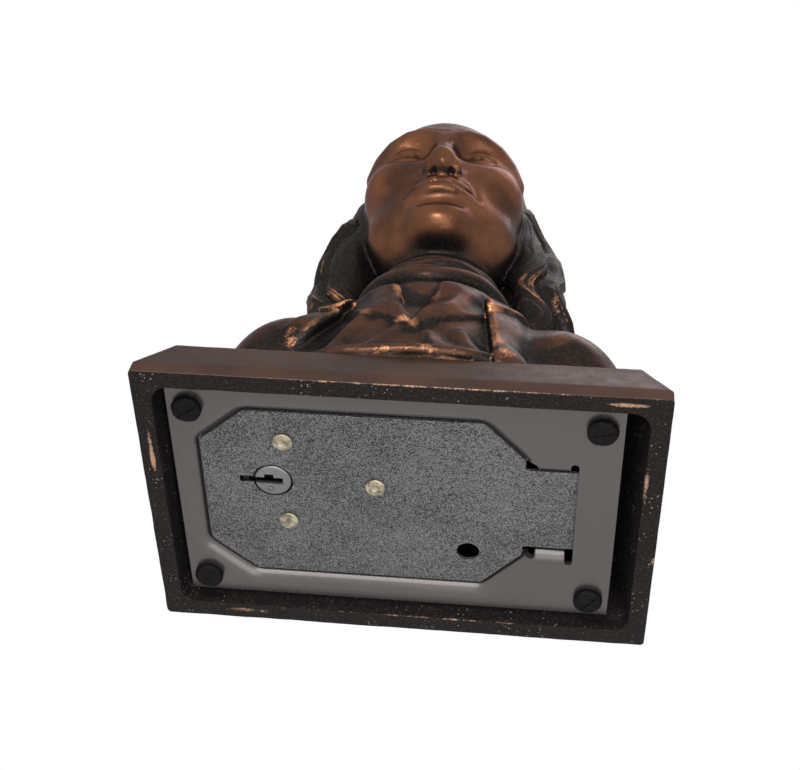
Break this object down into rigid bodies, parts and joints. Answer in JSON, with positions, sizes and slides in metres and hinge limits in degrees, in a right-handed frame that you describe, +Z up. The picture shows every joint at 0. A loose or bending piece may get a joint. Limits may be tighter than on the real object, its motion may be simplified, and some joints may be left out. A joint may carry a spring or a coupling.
{
  "type": "portrait bust coin bank",
  "caption": "Hollow cast bust on a low plinth with a coin slot in its back; a key-locked trap door in the screwed bottom plate swings down to empty it.",
  "frame": {"origin": "middle of the plinth's foot, on the surface that the bank stands on", "axes": "+Z up, -Y towards the front of the bust, +X to the right of someone who faces it"},
  "size_m": [0.114, 0.073, 0.153],
  "materials": {
    "antique_copper": "antiqued copper over a rough casting, dark in the hollows and worn bright on the high spots",
    "plate_steel": "satin grey sheet",
    "door_steel": "dark mottled sheet",
    "blackened_screw": "blackened, slightly rusty",
    "lock_metal": "satin zinc",
    "rivet_nickel": "dull yellowish nickel"
  },
  "bodies": {
    "bank": {"bust_casting": "antique_copper", "bottom_plate": "plate_steel", "plate_screws": "blackened_screw"},
    "door": {"trap_door": "door_steel", "lock_case": "plate_steel", "lock_rivets": "rivet_nickel"},
    "plug": {"lock_plug": "lock_metal", "plug_drive_pin": "lock_metal", "lock_bolt": "plate_steel"}
  },
  "joints": [
    {"name": "door_swing", "type": "hinge", "parent": "bank", "child": "door", "pos_m": [0.0383, 0, 0.0051], "axis": [0, -1, 0], "range_deg": [0, 90]},
    {"name": "key_turn", "type": "hinge", "parent": "door", "child": "plug", "pos_m": [-0.029, -0.004, 0.0056], "axis": [0, 0, 1], "range_deg": [0, 90]}
  ]
}
